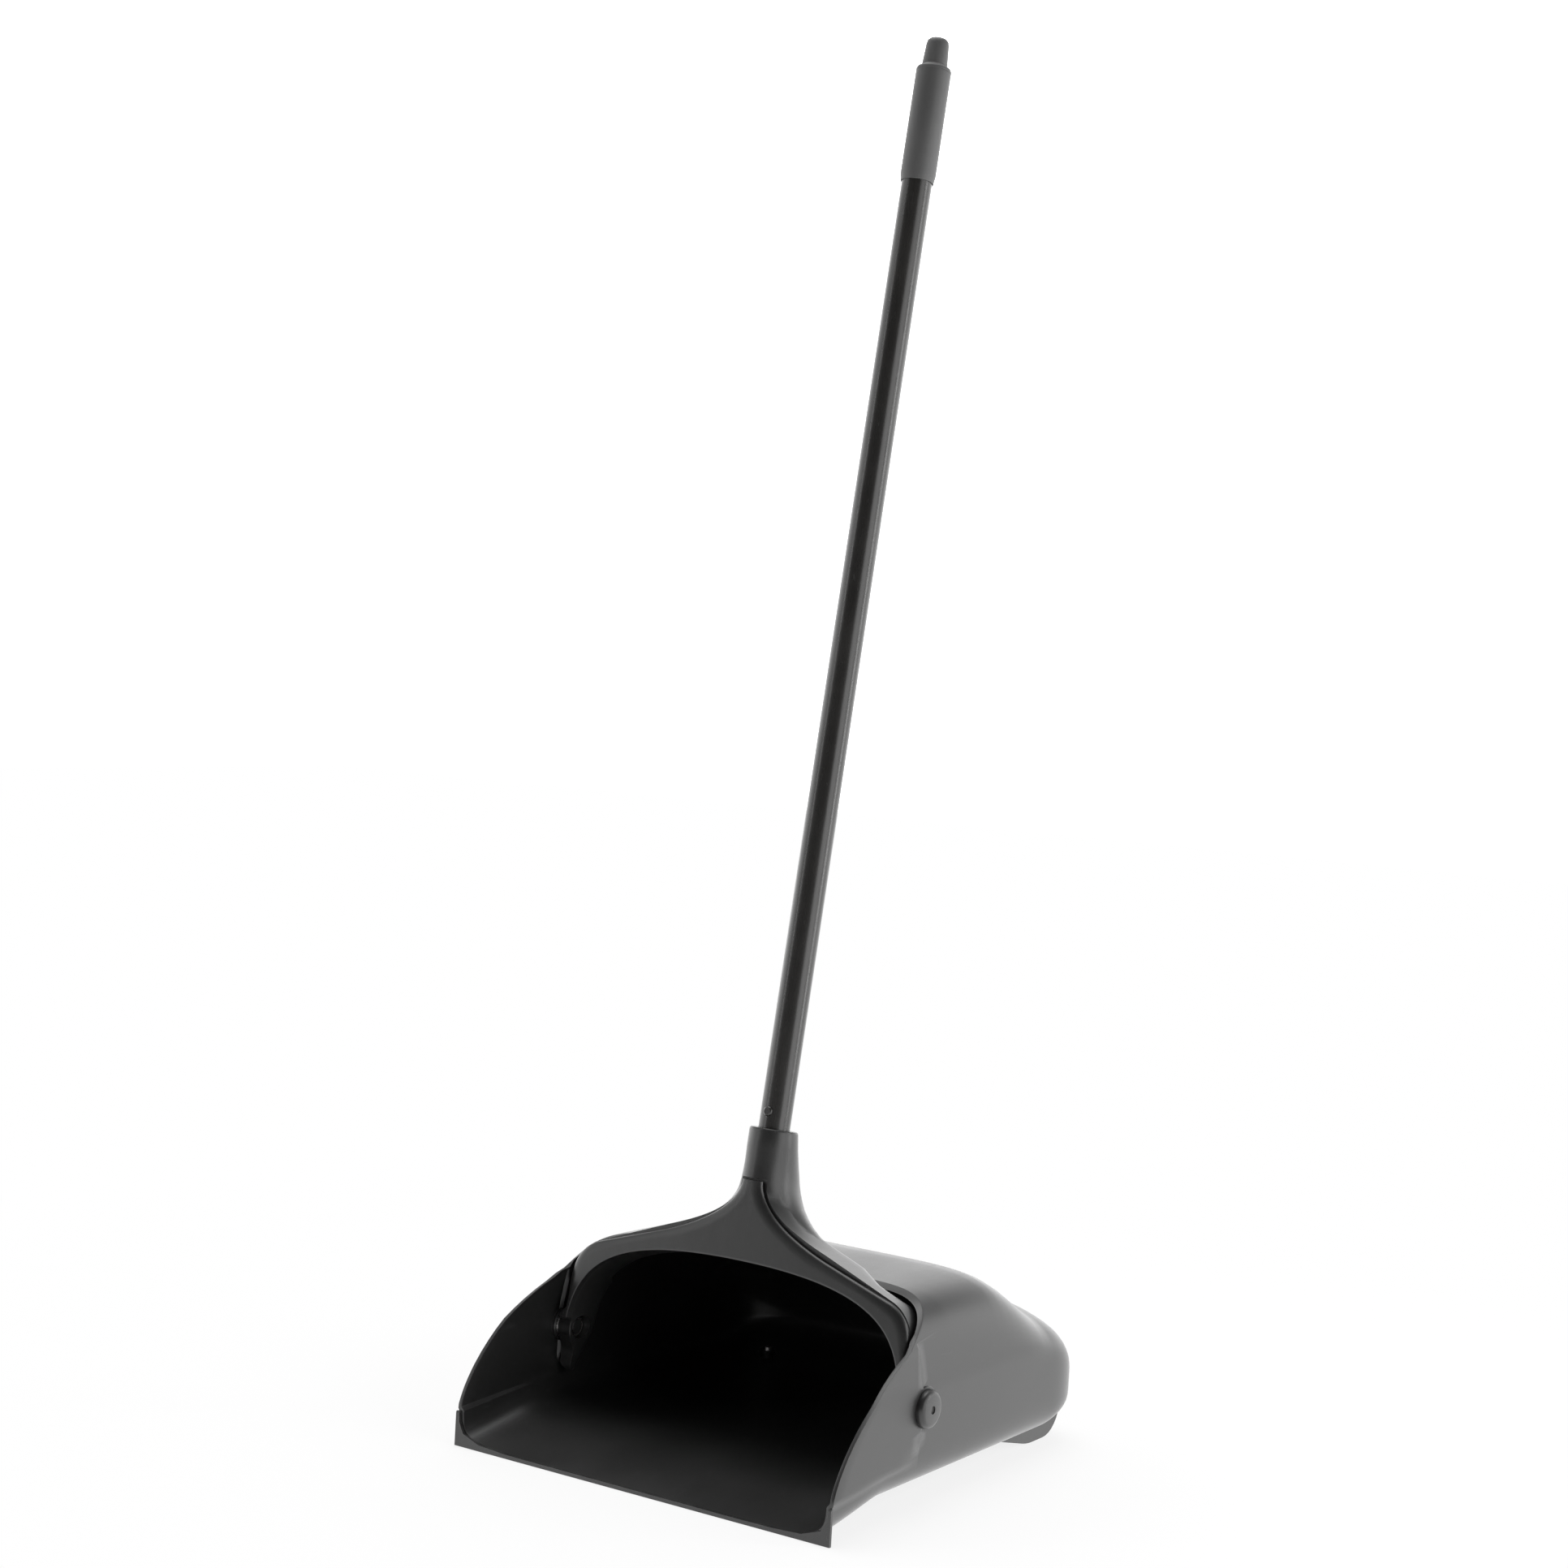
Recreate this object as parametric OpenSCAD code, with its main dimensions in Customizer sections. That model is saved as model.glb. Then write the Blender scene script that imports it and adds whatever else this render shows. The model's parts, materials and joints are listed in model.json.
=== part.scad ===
// Upright lobby dustpan: a hooded bin that swings under a long handle on two side pivots.
// Millimetres, +Z up, the mouth faces -Y. The origin is on the ground under the middle of the bin.

/* [Bin] */
// Width over the cheeks
pan_w = 288; // [274:1:310]
// Depth from the lip to the back
pan_d = 324; // [316:1:345]
// Wall thickness of the moulding
wall = 3.4; // [3:0.1:4]
// How far the cheek panels stand out from the bin
panel_step = 1.2; // [0.8:0.1:1.6]
// Height of the hood at its front edge
hood_h = 126; // [122:0.5:129]
// Height of the hood's crown behind its slope
hood_back_h = 98.5; // [94:0.5:104]
// Height of the cheeks where they meet the hood
cheek_h = 96.5; // [93:0.5:99]
// Height of the rounded back's middle
nose_z = 37.5; // [34:0.5:42]
// Underside of the floor at the lip
floor_front_z = 1.2; // [1:0.1:2]
// Underside of the floor at the back
floor_back_z = 7; // [5:0.5:9]

/* [Lip and skid] */
// Height of the corner posts
post_h = 22.5; // [18:0.5:26]
// Depth of the lip's nose in front of the moulding
lip_nose = 2; // [1.5:0.1:3]
// Width of the wear strip under the lip
strip_w = 200; // [150:1:210]
// Depth of the wear strip under the lip
strip_d = 16; // [12:1:24]
// Width of the rear skid
skid_w = 252; // [240:1:256]
// Depth of the rear skid
skid_d = 88; // [76:1:95]
// Skid's rear end, measured forward from the back of the bin
skid_inset = 8; // [6:1:12]
// Sideways place of each skid screw
skid_screw_x = 97; // [85:1:100]
// Shank diameter of the skid screws
skid_screw_d = 4; // [3:0.5:4.5]

/* [Pivot] */
// Distance of the pivot behind the lip
pivot_y = 103; // [101:0.5:105]
// Height of the pivot
pivot_z = 62; // [61:0.5:64]
// Pivot pin diameter
pin_d = 10; // [9:0.5:12]
// Diameter of the pin's round head
pin_head_d = 24.5; // [23:0.5:27]
// Thickness of the pin's round head
pin_head_t = 5.2; // [4.5:0.1:7]
// Thickness of the washer between arm and wall
washer_t = 1.2; // [0.8:0.1:1.6]
// Wall of the bearing bush
bush_wall = 1.6; // [1.2:0.1:2]
// Thickness of the clip on the pin's inner end
clip_t = 1.2; // [0.8:0.1:1.4]

/* [Yoke] */
// Distance of the front plate's face before the pivot
face_reach = 13.5; // [12:0.5:14.5]
// Depth of the arms and the arch, front to back
arm_d = 23.5; // [22:0.5:24.5]
// Reach of each arm below the pivot
arm_tail = 29; // [26:0.5:32]
// Depth of the bell, front to back
bell_d = 32; // [30:0.5:33]
// Height of the arch opening above the pivot
arch_h = 66; // [64:0.5:67.5]
// Height of the bell's top above the pivot
bell_h = 118; // [114:1:121]
// Height of the socket's top above the pivot
socket_h = 152; // [148:1:160]
// Socket diameter at its top
socket_d = 32; // [30:0.5:34]
// Thickness of the front plate
face_t = 3.5; // [3:0.1:4]
// Width of the shadow groove behind the front plate
groove_w = 1.6; // [1.2:0.1:2]
// Depth of the shadow groove
groove_depth = 3.5; // [2.5:0.1:4.5]
// Shank diameter of the front plate's screws
face_screw_d = 3.5; // [3:0.1:4]

/* [Handle] */
// Lean of the handle behind upright
lean = 9.65; // [9:0.05:10.2]
// Distance of the handle's axis behind the pivot
handle_back = 5; // [4:0.1:6]
// Overall height
handle_h = 940; // [880:1:1000]
// Steel tube diameter
tube_d = 19.05; // [18:0.05:20]
// Steel tube wall
tube_wall = 1.2; // [1:0.1:1.5]
// Thickness of the plastic jacket
jacket_t = 0.9; // [0.7:0.05:1.1]
// Wall of the grip sleeve
grip_wall = 1.55; // [1.2:0.05:2]
// Length of the grip sleeve
grip_len = 77; // [60:1:120]
// Length of the tapered tip
tip_len = 24; // [18:0.5:30]
// Lower diameter of the tapered tip
tip_d = 17.5; // [15:0.5:19]
// Height of the rivet above the socket
rivet_rise = 11; // [8:0.5:20]
// Shank diameter of the rivet
rivet_d = 3.2; // [2.4:0.1:4]
// Shank diameter of the socket screw
socket_screw_d = 4; // [3:0.1:4.5]

/* [Clearances] */
// Running clearance of the bush on the pin, on the radius
run_gap = 0.05; // [0.03:0.01:0.08]
// Side clearance of each arm
side_gap = 0.4; // [0.3:0.1:0.6]
// Gap between the yoke and the hood's edge at rest
stop_gap = 0.6; // [0.4:0.1:1]
// Seating clearance of fixed pieces, on the radius
seat_gap = 0.05; // [0.02:0.01:0.1]

/* [Hidden] */
$fn = 64;

// Bin
half_w = pan_w / 2;
bin_w = half_w - panel_step;
cheek_wall = wall - 0.8;
lip_wall = 1.2;
// Thinner wall inside the hood's front edge, which makes room for the yoke
relief_wall = wall - 1.6;
relief_d = 32;
// Height of the widest line of the section, and where the walls start to lean in
waist_z = 50;
lean_in_z = 75;
lean_in = 0.2;
// Where the hood starts, and where the back starts to round over
hood_y = 139;
nose_y = pan_d - 55;
corner_r = 59;
// Where the hood starts and stops sloping down
slope_y = pan_d - 122;
slope_end = pan_d - 46;
ramp_d = 60;
// Roundness of the section and of the back: high is boxy
floor_power = 6.3;
lip_power = 10;
hood_power = 9;
back_power = 3.3;
nose_power = 3.2;
back_round = 1.7;
round_rate = 1.3;
quarter_steps = 15;
nose_steps = 12;
front_stations = concat([0, 6, 30, 60, 100], [for (i = [0:7]) mix(hood_y, nose_y, i / 8)]);
skid_back = pan_d - skid_inset;
skid_front = skid_back - skid_d;
rear_stations = [for (y = front_stations) if (y > skid_front - 30) y];
// Where the hood's front edge leaves the cheek
edge_y = hood_y - 49;
// Rear edge and lower edge of the cheek panels
panel_y = 99.5;
panel_front_z = 23.5;
panel_back_z = 31;

// Screw bosses inside the back
boss_d = 11;
boss_h = floor_back_z + wall + 8;
skid_screw_y = skid_back - 28;
screw_head_d = 7.5;
screw_head_t = 2.4;
skid_screw_low = 3;
// How far the skid reaches up the rounded back
skid_top = nose_z - 13.5;

// Pivot, measured outwards from the middle of the bin
pad_x = bin_w - wall - 0.4;
washer_x = pad_x - washer_t;
hub_x = washer_x - side_gap;
hub_d = pin_d + 10;
// Outer face, front edge and inner face of the arms
arm_out_x = half_w - 12.6;
arm_edge_x = arm_out_x - 2.4;
arm_in_x = half_w - 19.5;
recess_x = arm_out_x;
recess_d = pin_d + 6;
recess_depth = arm_out_x - arm_in_x + 3;
bush_d = pin_d + 2 * run_gap + 2 * bush_wall;
clip_d = pin_d + 4;
clip_x = recess_x - side_gap - clip_t;
clip_groove = 0.6;
pin_end_x = clip_x - 1.2;

// Yoke, in its own frame: the pivot axis is the origin and +Z runs up the handle
face_front = -face_reach;
land_front = face_front + face_t;
body_front = land_front + groove_w;
body_back = body_front + arm_d;
bell_back = body_front + bell_d;
face_low = 6;
bell_w = 170;
neck_x = 0.53 * socket_d;
plate_neck_x = 0.235 * socket_d;
shoulder_x = 0.43 * half_w;
shoulder_h = 1.208 * arch_h;
// Where the groove behind the front plate runs out
groove_end_x = 0.6 * half_w;
bore_low = bell_h + 2;
tube_low = bore_low + 0.5;
face_screw_places = [
    for (side = [-half_w, half_w]) each [[0.236 * side, shoulder_h], [0.611 * side, arch_h - 3.5]]
];
face_screw_seat = 5;
face_screw_low = face_front + 1.2;

// Handle
jacket_d = tube_d + 2 * jacket_t;
tube_bore = tube_d - 2 * tube_wall;
grip_d = jacket_d + 2 * grip_wall;
handle_top = (handle_h - pivot_z + handle_back * sin(lean)) / cos(lean);
grip_top = handle_top - tip_len;
grip_low = grip_top - grip_len;
cap_plug = 20;
socket_screw_z = (bore_low + socket_h) / 2;
socket_seat = socket_d / 2;
rivet_z = socket_h + rivet_rise;

function clamp01(v) = max(0, min(1, v));
function mix(a, b, t) = a + (b - a) * t;
function unit(v) = v / norm(v);

// A cubic curve through its end points, led by two handles
function curve(a, b, c, d, steps) = [
    for (i = [0:steps]) let (t = i / steps, s = 1 - t)
        a * s * s * s + 3 * b * s * s * t + 3 * c * s * t * t + d * t * t * t
];

// The arc that rounds the corner b between a and c, with the radius in b[2]
function corner_arc(a, b, c, steps) =
    b[2] == 0 ? [[b.x, b.y]] :
    let (
        p = [b.x, b.y],
        u = unit([a.x, a.y] - p),
        v = unit([c.x, c.y] - p),
        half = acos(u * v) / 2,
        centre = p + unit(u + v) * b[2] / sin(half),
        from = p + u * b[2] / tan(half) - centre,
        to = p + v * b[2] / tan(half) - centre,
        start = atan2(from.y, from.x),
        raw = atan2(to.y, to.x) - start,
        sweep = raw > 180 ? raw - 360 : raw < -180 ? raw + 360 : raw
    )
    [for (i = [0:steps]) centre + b[2] * [cos(start + sweep * i / steps), sin(start + sweep * i / steps)]];

// An outline from corners [x, y, radius]
function rounded(c, steps = 8) = [
    for (i = [0:len(c) - 1])
        each corner_arc(c[(i + len(c) - 1) % len(c)], c[i], c[(i + 1) % len(c)], steps)
];

// The corners of a half outline, with their mirror images on the left
function both_sides(half) = concat(half, [
    for (i = [len(half) - 1:-1:0]) [-half[i].x, half[i].y, half[i][2]]
]);

// Section of the bin at a distance y behind the lip, drawn in by an inset
function ease(t) = t * t * (3 - 2 * t);
function crown_z(y) = mix(hood_h, hood_back_h, ease(clamp01((y - slope_y) / (slope_end - slope_y))));
function floor_z(y, inset) =
    mix(floor_front_z, floor_back_z, clamp01(y / ramp_d))
        + (inset > lip_wall ? mix(lip_wall, inset, clamp01(y / ramp_d)) : inset);
function section(y, inset) =
    let (
        u = clamp01((y - nose_y) / (pan_d - inset - nose_y)),
        nose = pow(1 - 0.998 * pow(u, nose_power), 1 / nose_power),
        lift = pow(1 - 0.998 * pow(u, back_round), 1 / back_round),
        hw = bin_w - inset - corner_r * (1 - nose),
        middle = mix(waist_z, nose_z, u),
        up = (crown_z(y) - inset - middle) * lift,
        down = (middle - floor_z(y, inset)) * lift,
        power = mix(hood_power, back_power, pow(clamp01((y - hood_y) / (nose_y - hood_y)), round_rate))
    )
    [for (i = [0:4 * quarter_steps - 1])
        let (
            a = 90 * i / quarter_steps,
            e = sin(a) > 0 ? power : mix(lip_power, floor_power, clamp01(y / ramp_d)),
            r = pow(pow(abs(cos(a)), e) + pow(abs(sin(a)), e), -1 / e),
            x = hw * r * cos(a),
            z = middle + (sin(a) > 0 ? up : down) * r * sin(a)
        )
        [x * (1 - lean_in * max(0, z - lean_in_z) / half_w), y, z]
    ];

// A closed body through rings of points
module skin(rings) {
    n = len(rings[0]);
    m = len(rings);
    polyhedron(
        points = [for (r = rings) each r],
        faces = concat(
            [[for (j = [n - 1:-1:0]) j]],
            [for (i = [0:m - 2]) for (j = [0:n - 1]) let (k = (j + 1) % n) each [
                [i * n + j, i * n + k, (i + 1) * n + k],
                [i * n + j, (i + 1) * n + k, (i + 1) * n + j]
            ]],
            [[for (j = [0:n - 1]) (m - 1) * n + j]]
        )
    );
}

// The bin's form through its sections at the given distances
module loft(ys, inset) {
    skin([for (y = ys) section(y, inset)]);
}

function nose_stations(inset) = [
    for (i = [0:nose_steps]) mix(nose_y, pan_d - inset, sin(90 * i / nose_steps))
];

module from_lip() {
    translate([0, -pan_d / 2, 0])
        children();
}

module from_pivot() {
    from_lip()
        translate([0, pivot_y, pivot_z])
            children();
}

module in_yoke() {
    from_pivot()
        rotate([-lean, 0, 0])
            children();
}

module on_handle() {
    in_yoke()
        translate([0, handle_back, 0])
            children();
}

// A solid that runs across the bin, from an outline in the Y-Z plane
module across(w) {
    rotate([90, 0, 90])
        linear_extrude(w, center = true)
            children();
}

// A solid that runs from front to back, from an outline in the X-Z plane
module front_to_back(front, back) {
    translate([0, back, 0])
        rotate([90, 0, 0])
            linear_extrude(back - front)
                children();
}

// Turns an upright piece to point to the right, or to the back
module to_right() {
    rotate([0, 90, 0])
        children();
}

module to_back() {
    rotate([-90, 0, 0])
        children();
}

module both_screws() {
    for (x = [-skid_screw_x, skid_screw_x])
        translate([x, skid_screw_y, 0])
            children();
}

module both_arms() {
    for (side = [0, 1])
        mirror([side, 0, 0])
            to_right()
                children();
}

// Front edge of the hood in side view
hood_edge = curve(
    [edge_y, cheek_h + 2], [edge_y + 18, mix(cheek_h, hood_h, 0.39)],
    [hood_y - 20, hood_h - 4.5], [hood_y, hood_h + 1], 10
);

// What is cut away in front of the cheeks and the hood
module mouth() {
    cheek = curve(
        [lip_nose / 2, post_h], [2 * lip_nose, post_h + 20.5],
        [0.4 * edge_y, cheek_h - 16.5], [edge_y - 2, cheek_h], 14
    );
    across(pan_w + 20)
        polygon(concat(
            [[-40, post_h]], cheek, [[edge_y + 2.5, cheek_h - 1]], hood_edge,
            [[hood_y, hood_h + 30], [-40, hood_h + 30]]
        ));
}

// Side view of the cheek panels
module panel() {
    across(pan_w + 20)
        polygon(rounded([
            [-40, panel_front_z - 3, 0], [panel_y, panel_back_z, 12], [panel_y, hood_h, 0], [-40, hood_h, 0]
        ]));
}

module bin_outside() {
    loft(concat(front_stations, nose_stations(0)), 0);
    intersection() {
        loft(front_stations, -panel_step);
        panel();
    }
    translate([0, pivot_y, pivot_z])
        to_right()
            cylinder(d = pin_head_d + 3, h = pan_w, center = true);
}

module bin_inside() {
    difference() {
        union() {
            loft(concat([-lip_nose], front_stations, nose_stations(wall)), wall);
            intersection() {
                loft(concat([-lip_nose], front_stations), cheek_wall - panel_step);
                panel();
            }
            intersection() {
                loft(front_stations, relief_wall);
                translate([-half_w, panel_y, cheek_h])
                    cube([pan_w, relief_d, hood_h]);
            }
        }
        translate([0, pivot_y, pivot_z])
            both_arms()
                translate([0, 0, pad_x])
                    cylinder(d = hub_d + 3, h = half_w);
        both_screws()
            cylinder(d = boss_d, h = boss_h, $fn = 24);
    }
}

module pan_shell() {
    color("#2a2b2d")
        from_lip()
            difference() {
                resize([pan_w, 0, 0])
                    difference() {
                        bin_outside();
                        bin_inside();
                        mouth();
                        translate([-pan_w, -1, -1])
                            cube([2 * pan_w, lip_nose + 1, 2 * hood_h]);
                    }
                translate([0, pivot_y, pivot_z])
                    to_right()
                        cylinder(d = pin_d + 2 * seat_gap, h = pan_w + 10, center = true);
                both_screws()
                    cylinder(d = skid_screw_d + 2 * seat_gap, h = 2 * boss_h);
            }
}

module front_lip() {
    strip_back = lip_nose + strip_d;
    color("#303234")
        from_lip() {
            resize([pan_w, 0, 0])
                difference() {
                    across(pan_w)
                        polygon(rounded([
                            [0, 0, 0], [lip_nose, 0, 0], [lip_nose, post_h, 0], [0, post_h, lip_nose / 2]
                        ]));
                    loft([-lip_nose, lip_nose, ramp_d], lip_wall);
                }
            across(strip_w)
                polygon([
                    [lip_nose, 0], [strip_back, 0],
                    [strip_back, floor_z(strip_back, 0)], [lip_nose, floor_z(lip_nose, 0)]
                ]);
        }
}

module rear_skid() {
    toe_z = floor_back_z + 4;
    color("#202123")
        from_lip()
            difference() {
                resize([skid_w, 0, 0])
                    difference() {
                        across(skid_w)
                            polygon(rounded([
                                [skid_front, toe_z, 0], [skid_front + skid_d / 2, 0, 0.68 * skid_d],
                                [skid_back, 0, skid_d / 4], [skid_back, skid_top, 0],
                                [skid_front, skid_top, 0]
                            ]));
                        loft(concat(rear_stations, nose_stations(0)), 0);
                    }
                both_screws()
                    translate([0, 0, skid_screw_low])
                        cylinder(d = skid_screw_d, h = boss_h);
            }
}

module skid_screws() {
    color("silver")
        from_lip()
            both_screws()
                difference() {
                    union() {
                        translate([0, 0, skid_screw_low])
                            cylinder(d = skid_screw_d, h = boss_h - skid_screw_low);
                        translate([0, 0, boss_h])
                            cylinder(d1 = screw_head_d, d2 = screw_head_d - 1, h = screw_head_t);
                    }
                    translate([0, 0, boss_h + screw_head_t - 1.2])
                        cylinder(d = 3.2, h = 4, $fn = 6);
                }
}

// Pivot hardware along +Z, from the middle of the bin outwards
module pivot_pin() {
    difference() {
        union() {
            translate([0, 0, half_w])
                rotate_extrude()
                    polygon(rounded([
                        [0, 0, 0], [pin_head_d / 2, 0, 0],
                        [pin_head_d / 2, pin_head_t, 3.5], [0, pin_head_t, 0]
                    ]));
            translate([0, 0, pin_end_x])
                cylinder(d = pin_d, h = half_w - pin_end_x);
        }
        translate([0, 0, half_w + pin_head_t - 1])
            cylinder(d = 5, h = 2);
        translate([0, 0, clip_x])
            difference() {
                cylinder(d = pin_d + 2, h = clip_t);
                translate([0, 0, -1])
                    cylinder(d = pin_d - 2 * clip_groove, h = clip_t + 2);
            }
    }
}

module ring(low, t, outer, inner) {
    translate([0, 0, low])
        difference() {
            cylinder(d = outer, h = t);
            translate([0, 0, -1])
                cylinder(d = inner, h = t + 2);
        }
}

module pin_washer() {
    color("silver")
        ring(washer_x, washer_t, hub_d, pin_d + 2 * seat_gap);
}

module pin_clip() {
    color("silver")
        ring(clip_x, clip_t, clip_d, pin_d - 2 * clip_groove);
}

module bush() {
    color("#c8c4b8")
        ring(recess_x, hub_x - recess_x, bush_d, pin_d + 2 * run_gap);
}

module on_right() {
    from_pivot()
        to_right()
            children();
}

module on_left() {
    mirror([1, 0, 0])
        on_right()
            children();
}

// Half outline of the yoke: neck, bell, shoulder, corner and arm
function yoke_half(neck, drop) = concat(
    [for (p = curve(
        [neck, bell_h], [1.1 * neck, bell_h - 19],
        [0.61 * shoulder_x, shoulder_h + 8.3 - drop], [shoulder_x, shoulder_h - drop], 8
    )) [p.x, p.y, 0]],
    [[arm_out_x, arch_h - 12, 26], [arm_out_x, 13, 0], [hub_x, 8, 4], [hub_x, -arm_tail, 5]]
);

module body_outline(neck, inset) {
    offset(delta = -inset)
        polygon(rounded(both_sides(yoke_half(neck, 0))));
}

module plate_outline() {
    polygon(rounded(both_sides(yoke_half(plate_neck_x, groove_depth))));
}

// Opening under the arch at a depth y, from the feet of the arms up to the crown
function opening(y, knee_x, spread_x) =
    let (
        foot = [half_w - 13, -arm_tail - 12],
        side = curve([knee_x, 0], [knee_x, 0.74 * arch_h], [spread_x, arch_h], [0, arch_h], 12)
    )
    [for (p = both_sides([for (q = concat([foot], side)) if (q.x > 0) [q.x, q.y, 0]])) [p.x, y, p.y]];

// The opening as it is cut: the arms' faces turn inwards behind their front edges
module arch_cut() {
    front_x = 0.64 * half_w;
    back_x = 0.58 * half_w;
    skin([
        opening(face_front - 1, arm_edge_x, front_x), opening(face_front, arm_edge_x, front_x),
        opening(0, arm_in_x, back_x), opening(bell_back + 1, arm_in_x, back_x)
    ]);
}

// Side view of the yoke, which rounds the arms off below the pivot
module yoke_side() {
    across(pan_w)
        polygon(rounded([
            [face_front - 1, socket_h + 1, 0], [face_front - 1, 10, 0], [0.8 * face_front, -5, 12],
            [-2, -arm_tail / 2, 8], [-1.5, -arm_tail, 3], [6, -arm_tail, 4],
            [0.8 * body_back, -6, 12], [body_back, 20, 0],
            [bell_back + 8, arch_h, 0], [bell_back + 8, socket_h + 1, 0]
        ]));
}

module above(z, w) {
    intersection() {
        children();
        translate([-w / 2, z])
            square([w, 2 * bell_h]);
    }
}

module at_face_screws() {
    for (p = face_screw_places)
        translate([p.x, 0, p.y])
            to_back()
                children();
}

// Rebate in the back of the yoke, where it leans against the hood's front edge
module hood_seat() {
    low = hood_h - 8;
    edge = [for (p = hood_edge) if (p.y > low) p - [stop_gap, 0]];
    from_lip()
        across(pan_w)
            polygon(concat(edge, [[pan_d, hood_h + 1], [pan_d, low], [edge[0].x, low]]));
}

module yoke_body() {
    color("#2d2e30")
        difference() {
            in_yoke()
                yoke_casting();
            hood_seat();
        }
}

// The seat of the front plate, drawn in behind the plate's edge until the groove runs out
module land_outline() {
    offset(delta = -groove_depth)
        plate_outline();
    difference() {
        plate_outline();
        square([2 * groove_end_x, 3 * bell_h], center = true);
    }
}

// Bell, arch and arms before the socket and the holes
module yoke_arms() {
    difference() {
        intersection() {
            union() {
                front_to_back(body_front, 0)
                    body_outline(plate_neck_x + 2, 0);
                front_to_back(0, 0.4 * body_back)
                    body_outline(neck_x, 0);
                front_to_back(0.4 * body_back, 0.7 * body_back)
                    body_outline(neck_x, 1.5);
                front_to_back(0.7 * body_back, body_back)
                    body_outline(neck_x, 4);
                front_to_back(body_back, bell_back)
                    above(arch_h + 4, bell_w)
                        body_outline(neck_x, 2.5);
                front_to_back(land_front, body_front)
                    above(face_low, pan_w)
                        land_outline();
            }
            yoke_side();
        }
        arch_cut();
    }
}

// The socket and its neck, from the rim down into the bell: height, half width, set-back, half depth
neck_rings = [
    [socket_h, 0.5 * socket_d, 0, 0.5 * socket_d],
    [bell_h + 12, 0.51 * socket_d, 1.7, 0.56 * socket_d],
    [bell_h, 0.53 * socket_d, 3.2, 0.64 * socket_d],
    [bell_h - 10, 0.62 * socket_d, 4, 0.64 * socket_d],
    [bell_h - 20, 0.78 * socket_d, 4.5, 0.62 * socket_d],
    [bell_h - 30, 1.1 * socket_d, 4.5, 0.56 * socket_d],
    [bell_h - 37, 1.5 * socket_d, 4, 0.46 * socket_d]
];
function neck_ring(r) = [
    for (i = [0:59]) [r[1] * cos(6 * i), handle_back + r[2] + r[3] * sin(6 * i), r[0]]
];

// The arms with the socket, the hubs and all holes
module yoke_casting() {
    difference() {
        union() {
            yoke_arms();
            difference() {
                skin([for (r = neck_rings) neck_ring(r)]);
                translate([-socket_d, -bell_d, 0])
                    cube([2 * socket_d, bell_d + body_front, bell_h + groove_w]);
            }
            both_arms()
                translate([0, 0, recess_x])
                    cylinder(d = hub_d, h = hub_x - recess_x);
        }
        translate([0, handle_back, bore_low])
            cylinder(d = jacket_d + 2 * seat_gap, h = socket_h);
        both_arms() {
            translate([0, 0, recess_x - recess_depth])
                cylinder(d = recess_d, h = recess_depth);
            translate([0, 0, recess_x - 1])
                cylinder(d = bush_d, h = half_w - recess_x);
        }
        at_face_screws() {
            translate([0, 0, -bell_d])
                cylinder(d = face_screw_d, h = 2 * bell_d);
            translate([0, 0, face_screw_seat])
                cylinder(d = 2.3 * face_screw_d, h = 2 * bell_d);
        }
        translate([0, handle_back, socket_screw_z])
            to_back() {
                cylinder(d = socket_screw_d, h = socket_d);
                translate([0, 0, socket_seat])
                    cylinder(d = 2.3 * socket_screw_d, h = socket_d);
            }
    }
}

module yoke_face() {
    color("#2d2e30")
        in_yoke()
            difference() {
                front_to_back(face_front, land_front)
                    above(face_low, pan_w)
                        plate_outline();
                arch_cut();
                at_face_screws()
                    translate([0, 0, face_screw_low])
                        cylinder(d = face_screw_d, h = face_t);
            }
}

module face_screws() {
    color("silver")
        in_yoke()
            at_face_screws() {
                translate([0, 0, face_screw_low])
                    cylinder(d = face_screw_d, h = face_screw_seat - face_screw_low);
                translate([0, 0, face_screw_seat])
                    cylinder(d = 2 * face_screw_d, h = 2.2);
            }
}

// Holes that the rivet and the socket screw need in the tube and its jacket
module tube_holes() {
    translate([0, 0, rivet_z])
        to_back()
            translate([0, 0, -tube_d])
                cylinder(d = rivet_d, h = tube_d);
    translate([0, 0, socket_screw_z])
        to_back()
            cylinder(d = socket_screw_d, h = tube_d);
}

module handle_tube() {
    color("silver")
        on_handle()
            difference() {
                ring(tube_low, grip_top - tube_low, tube_d, tube_bore);
                tube_holes();
            }
}

module tube_jacket() {
    color("#141415")
        on_handle()
            difference() {
                ring(tube_low, grip_top - tube_low, jacket_d, tube_d);
                tube_holes();
            }
}

module tube_plug() {
    color("#3a3b3d")
        on_handle()
            difference() {
                translate([0, 0, tube_low])
                    cylinder(d = tube_bore, h = socket_h - tube_low);
                tube_holes();
            }
}

module socket_screw() {
    color("silver")
        on_handle()
            translate([0, 0, socket_screw_z])
                to_back() {
                    cylinder(d = socket_screw_d, h = socket_seat);
                    translate([0, 0, socket_seat])
                        cylinder(d1 = 2 * socket_screw_d, d2 = 1.7 * socket_screw_d, h = 2.4);
                }
}

module tube_rivet() {
    color("#1c1c1d")
        on_handle()
            translate([0, 0, rivet_z])
                to_back() {
                    translate([0, 0, -jacket_d / 2])
                        cylinder(d = rivet_d, h = jacket_t + tube_wall + 1);
                    translate([0, 0, -jacket_d / 2 - 1.2])
                        cylinder(d1 = 1.6 * rivet_d, d2 = 2.1 * rivet_d, h = 1.2);
                }
}

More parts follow.
